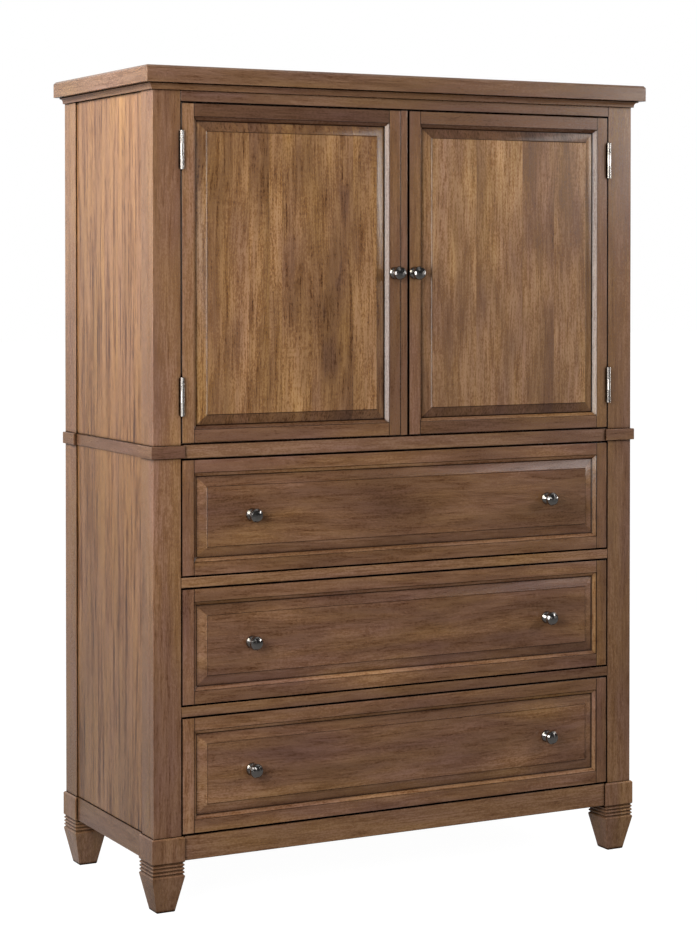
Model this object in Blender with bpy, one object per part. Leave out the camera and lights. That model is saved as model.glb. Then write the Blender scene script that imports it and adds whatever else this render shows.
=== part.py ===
"""Door chest: two framed doors over three drawers, on a case with square posts and tapered, reeded legs.

Metres, +Z up. The front faces -Y and the floor is z = 0. The origin is the middle of the
whole chest's footprint. Inside the script, depths are counted from the front face of the posts
(y = 0 there, growing towards the back), and one empty moves that frame to its place.
"""
import math

import bmesh
import bpy

# Overall sizes
HEIGHT = 1.524
CASE_WIDTH = 1.031
CASE_DEPTH = 0.438

# Clearances
SEAT = 0.0003            # between two wooden pieces that are glued or rest on each other
DRAWER_SIDE_GAP = 0.0018
DRAWER_FACE_GAP = 0.0025
DOOR_SIDE_GAP = 0.0018
DOOR_END_GAP = 0.0024
DOOR_MEETING_GAP = 0.0036
BOX_SIDE_PLAY = 0.0015   # between a drawer box and the guides beside it

# Top slab and the moulding under it
SLAB_THICKNESS = 0.0302
SLAB_OVERHANG = 0.0222
SLAB_BACK_OVERHANG = 0.005
SLAB_TOP_CHAMFER = 0.0042
SLAB_CORNER_CHAMFER = 0.0028
CORNICE_HEIGHT = 0.0118
CORNICE_TOP_REACH = 0.0108
CORNICE_FOOT_REACH = 0.0042
CORNICE_FILLET = 0.0025

# Posts, panels and rails of the case
POST_WIDTH = 0.0543
FRONT_POST_DEPTH = 0.0543
BACK_POST_DEPTH = 0.057
STILE_LINE_FROM_FRONT = 0.018
STILE_LINE_WIDTH = 0.0012
SIDE_RECESS = 0.003
SIDE_THICKNESS = 0.015
DADO_DEPTH = 0.006
RAIL_THICKNESS = 0.019
TOP_RAIL_HEIGHT = 0.0318
WAIST_RAIL_HEIGHT = 0.025
BOARD_THICKNESS = 0.0185
SHELF_THICKNESS = 0.018
SHELF_SETBACK = 0.006
BACK_THICKNESS = 0.006
BACK_INSET = 0.002
BACK_RABBET = 0.009
GUIDE_WIDTH = 0.017
GUIDE_HEIGHT = 0.014
SIDE_APRON_RECESS = 0.0005
SHELF_SHARE = 0.5        # the shelf's place between the cabinet's floor and its top

# Moulding at the waist
BAND_HEIGHT = 0.022
BAND_PROUD = 0.0055
BAND_CORNER_REACH = 0.060
BAND_BACK_REACH = 0.0585
BAND_CHAMFER = 0.0012

# Legs: block, reeded neck and tapered foot
BLOCK_SIZE = 0.0645
BLOCK_PROUD = 0.0045
BLOCK_BACK_PROUD = 0.0035
BLOCK_HEIGHT = 0.0445
BLOCK_CHAMFER = 0.0025
NECK_HEIGHT = 0.0263
REED_COUNT = 3
REED_DEPTH = 0.0036
FOOT_HEIGHT = 0.0667
FOOT_TOP_SIZE = 0.0642
FOOT_BOTTOM_SIZE = 0.0360
FOOT_CHAMFER = 0.0015

# Doors and drawer fronts
FRONT_THICKNESS = 0.020
FRAME_FLAT = 0.024
STICKING_WIDTH = 0.0070
STICKING_DEPTH = 0.0074
STICKING_QUIRK = 0.0007
EDGE_EASE = 0.0008
LIP = 0.001              # wood left between the sticking and the panel's groove
GROOVE_DEPTH = 0.0095
PANEL_TONGUE = 0.006
PANEL_PLAY = 0.0015
BEVEL_WIDTH = 0.0185
BEVEL_FOOT = 0.0012
BEVEL_STEP = 0.0016
FIELD_SETBACK = 0.001
ASTRAGAL_WIDTH = 0.015
ASTRAGAL_LINE = 0.0008

# Drawers
DRAWER_OPENING = 0.215
DRAWER_COUNT = 3
WALL_THICKNESS = 0.012
WALL_HEADROOM = 0.022
BOX_BACK_GAP = 0.0417    # from the back of a box to the back panel
BASE_THICKNESS = 0.006
BASE_RAISE = 0.010
BASE_HOUSING = 0.005

# Knobs
KNOB_RADIUS = 0.0133
KNOB_REACH = 0.027
KNOB_HEAD_LENGTH = 0.0165
KNOB_FOOT_RADIUS = 0.0114
KNOB_FOOT_LENGTH = 0.0012
KNOB_FLANK_LENGTH = 0.0072
KNOB_FLANK_STEPS = 3
KNOB_NECK_RADIUS = 0.0058
KNOB_SIDES = 24
KNOB_HEAD_STEPS = 8
DRAWER_KNOB_INSET = 0.1399    # from the end of a drawer's front to its knob

# Butt hinges
HINGE_LENGTH = 0.070
HINGE_END_DISTANCE = 0.0845   # from a door's end to the middle of its hinge
KNUCKLE_RADIUS = 0.004
PIN_RADIUS = 0.0015
LEAF_THICKNESS = 0.0014
LEAF_DEPTH = 0.016
LEAF_GAP = 0.0006
KNUCKLE_MIDDLE = 0.0218
KNUCKLE_SIDES = 20

# Levels, from the floor up
BLOCK_BOTTOM = FOOT_HEIGHT + NECK_HEIGHT
BLOCK_TOP = BLOCK_BOTTOM + BLOCK_HEIGHT
DRAWER_PITCH = DRAWER_OPENING + BOARD_THICKNESS
DRAWER_SILLS = [BLOCK_TOP + i * DRAWER_PITCH for i in range(DRAWER_COUNT)]
WAIST_BOTTOM = DRAWER_SILLS[-1] + DRAWER_OPENING
WAIST_TOP = WAIST_BOTTOM + WAIST_RAIL_HEIGHT
SLAB_BOTTOM = HEIGHT - SLAB_THICKNESS
TOP_RAIL_BOTTOM = SLAB_BOTTOM - TOP_RAIL_HEIGHT
POST_TOP = SLAB_BOTTOM - SEAT
SHELF_TOP = WAIST_TOP + SHELF_SHARE * (TOP_RAIL_BOTTOM - WAIST_TOP)

# Places across and from front to back
HALF_WIDTH = CASE_WIDTH / 2
HALF_OPENING = HALF_WIDTH - POST_WIDTH
BACK_POST_FRONT = CASE_DEPTH - BACK_POST_DEPTH
BACK_PANEL_FRONT = CASE_DEPTH - BACK_INSET - BACK_THICKNESS
BOARD_BACK = BACK_PANEL_FRONT - SEAT
FULL_DEPTH = KNOB_REACH + CASE_DEPTH + SLAB_BACK_OVERHANG
FRONT_Y = KNOB_REACH - FULL_DEPTH / 2

# Doors
MEMBER_WIDTH = FRAME_FLAT + STICKING_WIDTH
GROOVE_FRONT = STICKING_DEPTH + LIP
GROOVE_BACK = GROOVE_FRONT + PANEL_TONGUE + 2 * SEAT
DOOR_CLEAR = 2 * DOOR_SIDE_GAP + DOOR_MEETING_GAP + ASTRAGAL_WIDTH
DOOR_WIDTH = (2 * HALF_OPENING - DOOR_CLEAR) / 2
DOOR_OUTER_X = HALF_OPENING - DOOR_SIDE_GAP
DOOR_BOTTOM = WAIST_TOP + DOOR_END_GAP
DOOR_TOP = TOP_RAIL_BOTTOM - DOOR_END_GAP
HINGE_AXIS_X = HALF_OPENING - DOOR_SIDE_GAP / 2
HINGE_AXIS_Y = -(KNUCKLE_RADIUS + SEAT)
HINGE_LEVELS = {"upper": DOOR_TOP - HINGE_END_DISTANCE, "lower": DOOR_BOTTOM + HINGE_END_DISTANCE}

# Drawer boxes
FRONT_HALF_WIDTH = HALF_OPENING - DRAWER_SIDE_GAP
FRONT_HEIGHT = DRAWER_OPENING - 2 * DRAWER_FACE_GAP
BOX_HALF_WIDTH = HALF_OPENING - BOX_SIDE_PLAY
BOX_FRONT = FRONT_THICKNESS + SEAT
BOX_BACK = BACK_PANEL_FRONT - BOX_BACK_GAP
WALL_HEIGHT = DRAWER_OPENING - WALL_HEADROOM

WOOD = ("stained_wood", (0.225, 0.118, 0.060), 0.42, 0.0)
INNER_WOOD = ("drawer_wood", (0.52, 0.36, 0.22), 0.60, 0.0)
DARK_NICKEL = ("dark_nickel", (0.20, 0.19, 0.18), 0.16, 1.0)
POLISHED_NICKEL = ("polished_nickel", (0.72, 0.70, 0.66), 0.22, 1.0)


def clear_scene():
    for thing in list(bpy.data.objects):
        bpy.data.objects.remove(thing)


def material(finish):
    name, colour, roughness, metallic = finish
    found = bpy.data.materials.get(name)
    if found:
        return found
    made = bpy.data.materials.new(name)
    made.use_nodes = True
    shader = made.node_tree.nodes["Principled BSDF"]
    shader.inputs["Base Color"].default_value = (*colour, 1.0)
    shader.inputs["Roughness"].default_value = roughness
    shader.inputs["Metallic"].default_value = metallic
    return made


def empty(name, location, parent=None):
    """A bare frame that pieces hang on, placed in its parent's frame."""
    made = bpy.data.objects.new(name, None)
    made.empty_display_size = 0.05
    made.location = location
    made.parent = parent
    bpy.context.collection.objects.link(made)
    return made


def piece(name, bm, parent, finish, location=(0, 0, 0), smooth=False):
    """Turn a bmesh into a named object with outward faces, in its parent's frame."""
    bmesh.ops.recalc_face_normals(bm, faces=bm.faces)
    mesh = bpy.data.meshes.new(name)
    bm.to_mesh(mesh)
    bm.free()
    if smooth:
        mesh.shade_smooth()
        mesh.set_sharp_from_angle(angle=math.radians(35))
    mesh.materials.append(material(finish))
    made = bpy.data.objects.new(name, mesh)
    made.location = location
    made.parent = parent
    bpy.context.collection.objects.link(made)
    return made


def tool(target, operation, name, bm, location=(0, 0, 0)):
    """Cut or add a helper shape, given in the target's own parent frame."""
    helper = piece(name, bm, target.parent, WOOD, location)
    helper.hide_render = True
    helper.display_type = "WIRE"
    step = target.modifiers.new(name, "BOOLEAN")
    step.operation = operation
    step.solver = "EXACT"
    step.object = helper
    return helper


def loft(rings):
    """Skin rings that all have the same number of points, capping the first and the last."""
    bm = bmesh.new()
    rows = [[bm.verts.new(point) for point in ring] for ring in rings]
    count = len(rows[0])
    for near, far in zip(rows, rows[1:]):
        for i in range(count):
            j = (i + 1) % count
            bm.faces.new((near[i], near[j], far[j], far[i]))
    bm.faces.new(rows[0])
    bm.faces.new(rows[-1])
    return bm


def prism(axis, outline, start, end):
    """Extrude a plane outline along X, Y or Z; the outline's points are in the other two axes' order."""
    spread = {
        "X": lambda a, b, along: (along, a, b),
        "Y": lambda a, b, along: (a, along, b),
        "Z": lambda a, b, along: (a, b, along),
    }[axis]
    return loft([[spread(a, b, along) for a, b in outline] for along in (start, end)])


def box(low, high):
    outline = [(low[0], low[1]), (high[0], low[1]), (high[0], high[1]), (low[0], high[1])]
    return prism("Z", outline, low[2], high[2])


def bevel_where(bm, chosen, width):
    """Chamfer the edges whose two end points the test chooses."""
    edges = [e for e in bm.edges if chosen(e.verts[0].co, e.verts[1].co)]
    bmesh.ops.bevel(bm, geom=edges, offset=width, segments=1, affect="EDGES", clamp_overlap=True)
    return bm


def at(value, target, tolerance=1e-5):
    return abs(value - target) < tolerance


def mirrored(outline, side):
    """An outline drawn for the left half, moved to the chosen half."""
    return [(-side * a, b) for a, b in outline]


def top_slab(case):
    wide = HALF_WIDTH + SLAB_OVERHANG
    bm = box((-wide, -SLAB_OVERHANG, SLAB_BOTTOM), (wide, CASE_DEPTH + SLAB_BACK_OVERHANG, HEIGHT))
    bevel_where(bm, lambda a, b: at(a.x, b.x) and at(a.y, b.y), SLAB_CORNER_CHAMFER)
    bevel_where(bm, lambda a, b: at(a.z, HEIGHT) and at(b.z, HEIGHT), SLAB_TOP_CHAMFER)
    piece("top_slab", bm, case, WOOD)


def cornice_profile():
    """Fillet, cove and fillet, as reach from the case and height, foot first."""
    top = POST_TOP
    foot = SLAB_BOTTOM - CORNICE_HEIGHT
    cove_low = foot + CORNICE_FILLET
    cove_high = top - CORNICE_FILLET
    cove_reach = CORNICE_TOP_REACH - CORNICE_FOOT_REACH - CORNICE_FILLET / 2
    points = [(SEAT, foot), (CORNICE_FOOT_REACH, foot)]
    for i in range(5):
        turn = math.radians(90 * i / 4)
        reach = CORNICE_FOOT_REACH + cove_reach * (1 - math.cos(turn))
        points.append((reach, cove_low + (cove_high - cove_low) * math.sin(turn)))
    points += [(CORNICE_TOP_REACH, cove_high), (CORNICE_TOP_REACH, top), (SEAT, top)]
    return points


def cornice_moulding(case):
    """One moulding mitred round both sides and the front, with a backing strip over each recessed side."""
    profile = cornice_profile()
    stations = [(-1, CASE_DEPTH, 0), (-1, 0, -1), (1, 0, -1), (1, CASE_DEPTH, 0)]
    rings = []
    for side, depth, forward in stations:
        rings.append([(side * (HALF_WIDTH + reach), depth + forward * reach, z) for reach, z in profile])
    moulding = piece("cornice_moulding", loft(rings), case, WOOD)
    inset = CORNICE_FILLET / 4
    for side in (-1, 1):
        near = side * (HALF_WIDTH + CORNICE_FOOT_REACH / 2)
        far = side * (HALF_WIDTH - SIDE_RECESS + SEAT)
        strip = box(
            (min(near, far), FRONT_POST_DEPTH + SEAT, SLAB_BOTTOM - CORNICE_HEIGHT + inset),
            (max(near, far), BACK_POST_FRONT - SEAT, POST_TOP - inset),
        )
        tool(moulding, "UNION", f"backing_strip_{'left' if side < 0 else 'right'}", strip)


def front_post(case, name, side):
    """Square post whose outer face shows the line where the front stile is glued on."""
    line_start = STILE_LINE_FROM_FRONT - STILE_LINE_WIDTH / 2
    line_end = STILE_LINE_FROM_FRONT + STILE_LINE_WIDTH / 2
    outer, inner = HALF_WIDTH, HALF_OPENING
    outline = [
        (outer, 0), (outer, line_start), (outer - STILE_LINE_WIDTH / 2, STILE_LINE_FROM_FRONT),
        (outer, line_end), (outer, FRONT_POST_DEPTH), (inner, FRONT_POST_DEPTH), (inner, 0),
    ]
    post = piece(name, prism("Z", mirrored(outline, -side), BLOCK_TOP + SEAT, POST_TOP), case, WOOD)
    for level_name, level in HINGE_LEVELS.items():
        tool(post, "DIFFERENCE", f"{name}_mortise_{level_name}", leaf_mortise(side, -side, level))


def leaf_mortise(door_side, away, level):
    """Shallow pocket for one hinge leaf, cut away from the gap on the chosen side of the pin's line."""
    axis_x = door_side * HINGE_AXIS_X
    depth = LEAF_GAP / 2 + LEAF_THICKNESS + SEAT
    edges = sorted((axis_x, axis_x - away * depth))
    half = HINGE_LENGTH / 2 + SEAT
    return box(
        (edges[0], -FRONT_THICKNESS / 4, level - half),
        (edges[1], LEAF_DEPTH + SEAT, level + half),
    )


def back_post(case, name, side):
    """Post with a rabbet that holds the back panel."""
    rabbet_y = BACK_PANEL_FRONT - SEAT
    rabbet_x = HALF_OPENING + BACK_RABBET
    outline = [
        (HALF_WIDTH, BACK_POST_FRONT), (HALF_WIDTH, CASE_DEPTH), (rabbet_x, CASE_DEPTH),
        (rabbet_x, rabbet_y), (HALF_OPENING, rabbet_y), (HALF_OPENING, BACK_POST_FRONT),
    ]
    piece(name, prism("Z", mirrored(outline, -side), BLOCK_TOP + SEAT, POST_TOP), case, WOOD)


def board_levels():
    """Underside and top of each board that the side panels house, from the floor up."""
    levels = [(sill - BOARD_THICKNESS, sill) for sill in DRAWER_SILLS[1:]]
    levels.append((WAIST_TOP - BOARD_THICKNESS, WAIST_TOP))
    levels.append((SHELF_TOP - SHELF_THICKNESS, SHELF_TOP))
    return levels


def side_panel(case, name, side):
    """Recessed side with a dado across its inner face for each board."""
    outer = HALF_WIDTH - SIDE_RECESS
    inner = outer - SIDE_THICKNESS
    outline = [(outer, BLOCK_TOP + SEAT), (inner, BLOCK_TOP + SEAT)]
    for low, high in board_levels():
        outline += [(inner, low - SEAT), (inner + DADO_DEPTH, low - SEAT)]
        outline += [(inner + DADO_DEPTH, high + SEAT), (inner, high + SEAT)]
    outline += [(inner, POST_TOP), (outer, POST_TOP)]
    bm = prism("Y", mirrored(outline, -side), FRONT_POST_DEPTH + SEAT, BACK_POST_FRONT - SEAT)
    piece(name, bm, case, WOOD)


def side_apron(case, name, side):
    """Rail between two leg blocks, rabbeted for the lowest board."""
    outer = HALF_WIDTH - SIDE_APRON_RECESS
    inner = outer - RAIL_THICKNESS
    ledge = BLOCK_TOP - BOARD_THICKNESS - SEAT
    outline = [
        (outer, BLOCK_BOTTOM), (outer, BLOCK_TOP), (inner + DADO_DEPTH, BLOCK_TOP),
        (inner + DADO_DEPTH, ledge), (inner, ledge), (inner, BLOCK_BOTTOM),
    ]
    front = BLOCK_SIZE - BLOCK_PROUD + SEAT
    back = CASE_DEPTH + BLOCK_BACK_PROUD - BLOCK_SIZE - SEAT
    piece(name, prism("Y", mirrored(outline, -side), front, back), case, WOOD)


def front_rail(case, name, bottom, top, half_width):
    piece(name, box((-half_width, 0, bottom), (half_width, RAIL_THICKNESS, top)), case, WOOD)


def board_outline(front, half_width, front_notch, back_notch):
    """Plan of a board: wide in the dados, and notched round the posts or blocks at its corners."""
    notch_x, notch_y = front_notch
    back_x, back_y = back_notch
    half = [
        (notch_x, front), (notch_x, notch_y), (half_width, notch_y),
        (half_width, back_y), (back_x, back_y), (back_x, BOARD_BACK),
    ]
    return half + [(-x, y) for x, y in reversed(half)]


def housed_board(case, name, front, underside, top):
    """Board between the side panels and round the posts."""
    half_width = HALF_WIDTH - SIDE_RECESS - SIDE_THICKNESS + DADO_DEPTH - SEAT
    post_x = HALF_OPENING - SEAT
    outline = board_outline(
        front, half_width, (post_x, FRONT_POST_DEPTH + SEAT), (post_x, BACK_POST_FRONT - SEAT)
    )
    return piece(name, prism("Z", outline, underside, top), case, WOOD)


def drawer_guides(case_board, name, sill, front, back):
    """Strips glued along a board, in line with the posts, that keep a drawer box straight."""
    for side in (-1, 1):
        edges = sorted((side * HALF_OPENING, side * (HALF_OPENING + GUIDE_WIDTH)))
        strip = box((edges[0], front, sill - BOARD_THICKNESS / 2), (edges[1], back, sill + GUIDE_HEIGHT))
        tool(case_board, "UNION", f"{name}_guide_{'left' if side < 0 else 'right'}", strip)


def boards(case):
    """Dust panels under the drawers, the cabinet's floor and its shelf."""
    guide_front = FRONT_POST_DEPTH + 2 * SEAT
    guide_back = BACK_POST_FRONT - 2 * SEAT
    block_reach = BLOCK_SIZE - BLOCK_PROUD + SEAT
    block_back = CASE_DEPTH + BLOCK_BACK_PROUD - BLOCK_SIZE - SEAT
    block_x = HALF_WIDTH - block_reach
    lowest = board_outline(
        RAIL_THICKNESS + SEAT,
        HALF_WIDTH - SIDE_APRON_RECESS - RAIL_THICKNESS + DADO_DEPTH - SEAT,
        (block_x, block_reach),
        (block_x, block_back),
    )
    sill = DRAWER_SILLS[0]
    board = piece("dust_panel_lower", prism("Z", lowest, sill - BOARD_THICKNESS, sill), case, WOOD)
    drawer_guides(board, "dust_panel_lower", sill, block_reach, block_back)
    for name, sill in zip(("dust_panel_middle", "dust_panel_upper"), DRAWER_SILLS[1:]):
        board = housed_board(case, name, 0, sill - BOARD_THICKNESS, sill)
        drawer_guides(board, name, sill, guide_front, guide_back)
    housed_board(case, "cabinet_floor", RAIL_THICKNESS + SEAT, WAIST_TOP - BOARD_THICKNESS, WAIST_TOP)
    shelf_front = FRONT_THICKNESS + SHELF_SETBACK
    housed_board(case, "shelf", shelf_front, SHELF_TOP - SHELF_THICKNESS, SHELF_TOP)


def back_panel(case):
    """Thin panel in the posts' rabbets, reaching down between the back leg blocks."""
    wide = HALF_OPENING + BACK_RABBET - SEAT
    narrow = HALF_WIDTH - BLOCK_SIZE + BLOCK_PROUD - SEAT
    half = [(narrow, BLOCK_BOTTOM), (narrow, BLOCK_TOP + SEAT), (wide, BLOCK_TOP + SEAT), (wide, POST_TOP)]
    outline = half + [(-x, z) for x, z in reversed(half)]
    piece("back_panel", prism("Y", outline, BACK_PANEL_FRONT, CASE_DEPTH - BACK_INSET), case, WOOD)


def waist_band(case, name, side):
    """Moulding that wraps both posts of one side, with a flatter strip over the recessed panel between."""
    e = HALF_WIDTH
    face = e + BAND_PROUD
    strip = e - SIDE_APRON_RECESS
    post = e + SEAT
    panel = e - SIDE_RECESS + SEAT
    back_wrap = CASE_DEPTH - BAND_BACK_REACH
    outline = [
        (e - BAND_CORNER_REACH, -BAND_PROUD), (face, -BAND_PROUD), (face, BAND_CORNER_REACH),
        (strip, BAND_CORNER_REACH), (strip, back_wrap), (face, back_wrap), (face, CASE_DEPTH),
        (post, CASE_DEPTH), (post, BACK_POST_FRONT - SEAT), (panel, BACK_POST_FRONT - SEAT),
        (panel, FRONT_POST_DEPTH + SEAT), (post, FRONT_POST_DEPTH + SEAT), (post, -SEAT),
        (e - BAND_CORNER_REACH, -SEAT),
    ]
    middle = (WAIST_BOTTOM + WAIST_TOP) / 2
    top = middle + BAND_HEIGHT / 2
    bm = prism("Z", mirrored(outline, -side), middle - BAND_HEIGHT / 2, top)

    def shows(point):
        outside = at(abs(point.x), face) or at(abs(point.x), strip) or at(point.y, -BAND_PROUD)
        return at(point.z, top) and outside

    bevel_where(bm, lambda a, b: shows(a) and shows(b), BAND_CHAMFER)
    piece(name, bm, case, WOOD)


def leg_section():
    """Half widths of the leg against height: tapered foot, V-cut reeds, then the square block."""
    block = BLOCK_SIZE / 2
    foot = FOOT_BOTTOM_SIZE / 2
    steps = [(0, foot - FOOT_CHAMFER), (FOOT_CHAMFER, foot), (FOOT_HEIGHT, FOOT_TOP_SIZE / 2)]
    groove_pitch = NECK_HEIGHT / (REED_COUNT + 1)
    flat = groove_pitch / 8
    for i in range(REED_COUNT + 1):
        start = FOOT_HEIGHT + i * groove_pitch
        steps.append((start + groove_pitch / 2, block - REED_DEPTH))
        if i < REED_COUNT:
            steps.append((start + groove_pitch - flat, block - flat))
            steps.append((start + groove_pitch + flat, block - flat))
    steps += [(BLOCK_BOTTOM, block), (BLOCK_TOP - BLOCK_CHAMFER, block), (BLOCK_TOP, block - BLOCK_CHAMFER)]
    return steps


def leg(case, name, side, from_back):
    rings = []
    for z, half in leg_section():
        rings.append([(-half, -half, z), (half, -half, z), (half, half, z), (-half, half, z)])
    x = side * (HALF_WIDTH + BLOCK_PROUD - BLOCK_SIZE / 2)
    front_y = BLOCK_SIZE / 2 - BLOCK_PROUD
    back_y = CASE_DEPTH + BLOCK_BACK_PROUD - BLOCK_SIZE / 2
    piece(name, loft(rings), case, WOOD, (x, back_y if from_back else front_y, 0))


def sticking():
    """The moulded inner edge of a frame: a small quirk, then a full slope, as distance and depth."""
    return [(FRAME_FLAT, STICKING_QUIRK), (MEMBER_WIDTH, STICKING_DEPTH)]


def member_section():
    """Section of a door stile or rail: distance from its outer edge, and depth from the face."""
    inner = MEMBER_WIDTH
    floor = inner - GROOVE_DEPTH
    return [
        (0, FRONT_THICKNESS), (0, EDGE_EASE), (EDGE_EASE, 0), (FRAME_FLAT, 0), *sticking(),
        (inner, GROOVE_FRONT), (floor, GROOVE_FRONT), (floor, GROOVE_BACK),
        (inner, GROOVE_BACK), (inner, FRONT_THICKNESS),
    ]


def cope_section():
    """What a rail's end loses to its stile: the stile's section, larger by the seat clearance."""
    inner = MEMBER_WIDTH + SEAT
    floor = MEMBER_WIDTH - GROOVE_DEPTH + SEAT
    beyond = FRONT_THICKNESS / 4
    shaped = [(a + SEAT, d - SEAT) for a, d in sticking()]
    return [
        (-beyond, FRONT_THICKNESS + beyond), (-beyond, -beyond), (FRAME_FLAT + SEAT, -beyond), *shaped,
        (inner, GROOVE_FRONT + SEAT), (floor, GROOVE_FRONT + SEAT), (floor, GROOVE_BACK - SEAT),
        (inner, GROOVE_BACK - SEAT), (inner, FRONT_THICKNESS + beyond),
    ]


def astragal_section(section):
    """The left door's inner stile is wider: a flat strip past a fine V line, where the doors meet."""
    line = ASTRAGAL_LINE
    edge = -ASTRAGAL_WIDTH
    front = [(edge, FRONT_THICKNESS), (edge, EDGE_EASE), (edge + EDGE_EASE, 0)]
    front += [(-line, 0), (0, line), (line, 0)]
    return front + section[3:]


def door(case, body, side):
    """One framed door: stiles coped by the rails' ends, a raised panel loose in the grooves."""
    hinge_x = side * HINGE_AXIS_X
    axis = empty(f"{body}_axis", (hinge_x, HINGE_AXIS_Y, 0), case)
    outer = side * DOOR_OUTER_X
    meeting = outer - side * DOOR_WIDTH

    def across(from_outer, depth):
        return (outer - side * from_outer - hinge_x, depth - HINGE_AXIS_Y)

    def across_inner(from_inner, depth):
        return (meeting + side * from_inner - hinge_x, depth - HINGE_AXIS_Y)

    section = member_section()
    inner_section = astragal_section(section) if side < 0 else section
    stile = prism("Z", [across(a, d) for a, d in section], DOOR_BOTTOM, DOOR_TOP)
    outer_stile = piece(f"{body}_stile_outer", stile, axis, WOOD)
    for level_name, level in HINGE_LEVELS.items():
        mortise = leaf_mortise(side, side, level)
        location = (-hinge_x, -HINGE_AXIS_Y, 0)
        tool(outer_stile, "DIFFERENCE", f"{body}_mortise_{level_name}", mortise, location)
    stile = prism("Z", [across_inner(a, d) for a, d in inner_section], DOOR_BOTTOM, DOOR_TOP)
    piece(f"{body}_stile_inner", stile, axis, WOOD)
    door_rails(body, axis, section, across, across_inner)
    door_panel(body, axis, across)


def door_rails(body, axis, section, across, across_inner):
    """Top and bottom rails, each cut at both ends to fit over its stiles."""
    beyond = FRONT_THICKNESS
    ends = (across(MEMBER_WIDTH - GROOVE_DEPTH, 0)[0], across_inner(MEMBER_WIDTH - GROOVE_DEPTH, 0)[0])
    for end_name, edge, inward in (("top", DOOR_TOP, -1), ("bottom", DOOR_BOTTOM, 1)):
        outline = [(d - HINGE_AXIS_Y, edge + inward * a) for a, d in section]
        rail = piece(f"{body}_rail_{end_name}", prism("X", outline, min(ends), max(ends)), axis, WOOD)
        low = min(edge, edge + inward * MEMBER_WIDTH) - beyond
        high = max(edge, edge + inward * MEMBER_WIDTH) + beyond
        for place, spread in (("outer", across), ("inner", across_inner)):
            cope = prism("Z", [spread(a, d) for a, d in cope_section()], low, high)
            tool(rail, "DIFFERENCE", f"{body}_cope_{end_name}_{place}", cope)


def raised_field():
    """Insets and depths of a raised panel's front: groove edge, bevel, step and flat field."""
    bevel_start = MEMBER_WIDTH + BEVEL_FOOT
    bevel_end = MEMBER_WIDTH + BEVEL_WIDTH
    low = GROOVE_FRONT + SEAT
    return [
        (bevel_start, low),
        (bevel_end, FIELD_SETBACK + BEVEL_STEP),
        (bevel_end + BEVEL_STEP / 2, FIELD_SETBACK),
    ]


def rectangle(low_x, high_x, low_z, high_z, inset, depth):
    return [
        (low_x + inset, depth, low_z + inset), (high_x - inset, depth, low_z + inset),
        (high_x - inset, depth, high_z - inset), (low_x + inset, depth, high_z - inset),
    ]


def door_panel(body, axis, across):
    """Raised panel whose thin tongue runs in the frame's groove with a little play."""
    edge = MEMBER_WIDTH - GROOVE_DEPTH + PANEL_PLAY
    tongue_front = GROOVE_FRONT + SEAT
    steps = [(edge, tongue_front + PANEL_TONGUE), (edge, tongue_front), *raised_field()]
    sides = sorted((across(0, 0)[0], across(DOOR_WIDTH, 0)[0]))
    rings = []
    for inset, depth in steps:
        rings.append(rectangle(*sides, DOOR_BOTTOM, DOOR_TOP, inset, depth - HINGE_AXIS_Y))
    piece(f"{body}_panel", loft(rings), axis, WOOD)


def knob_profile():
    """Turned profile, as distance out of the face and radius: foot, swelling flank, neck and round head."""
    head_start = KNOB_REACH - KNOB_HEAD_LENGTH
    half = KNOB_HEAD_LENGTH / 2
    neck = KNOB_NECK_RADIUS
    points = [(SEAT, KNOB_FOOT_RADIUS), (KNOB_FOOT_LENGTH, KNOB_FOOT_RADIUS)]
    for i in range(1, KNOB_FLANK_STEPS + 1):
        share = i / KNOB_FLANK_STEPS
        drop = (KNOB_FOOT_RADIUS - neck) * share ** 1.2
        points.append((KNOB_FOOT_LENGTH + share * KNOB_FLANK_LENGTH, KNOB_FOOT_RADIUS - drop))
    for i in range(1, KNOB_HEAD_STEPS):
        turn = math.pi * i / KNOB_HEAD_STEPS
        radius = KNOB_RADIUS * math.sin(turn) ** 0.8
        reach = head_start + half * (1 - math.cos(turn))
        points.append((reach, max(radius, neck) if i == 1 else radius))
    points.append((KNOB_REACH, KNOB_RADIUS / 8))
    return points


def knob(name, parent, x, z, face_depth):
    rings = []
    for reach, radius in knob_profile():
        ring = []
        for i in range(KNOB_SIDES):
            turn = 2 * math.pi * i / KNOB_SIDES
            ring.append((radius * math.cos(turn), -reach, radius * math.sin(turn)))
        rings.append(ring)
    piece(name, loft(rings), parent, DARK_NICKEL, (x, face_depth, z), smooth=True)


def leaf_outline(away):
    """Plan of a hinge leaf and its knuckle round the pin; the leaf lies on the chosen side."""
    near = LEAF_GAP / 2
    far = near + LEAF_THICKNESS
    start = math.atan2(math.sqrt(KNUCKLE_RADIUS ** 2 - far ** 2), far)
    end = math.atan2(math.sqrt(KNUCKLE_RADIUS ** 2 - near ** 2), near)
    back = LEAF_DEPTH - HINGE_AXIS_Y
    points = [(far, back)]
    sweep = start + 2 * math.pi - end
    for i in range(KNUCKLE_SIDES + 1):
        turn = start - sweep * i / KNUCKLE_SIDES
        points.append((KNUCKLE_RADIUS * math.cos(turn), KNUCKLE_RADIUS * math.sin(turn)))
    points.append((near, back))
    return [(away * x, y) for x, y in points]


def cylinder(radius, low, high, sides=KNUCKLE_SIDES):
    circle = []
    for i in range(sides):
        turn = 2 * math.pi * i / sides
        circle.append((radius * math.cos(turn), radius * math.sin(turn)))
    return prism("Z", circle, low, high)


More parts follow.
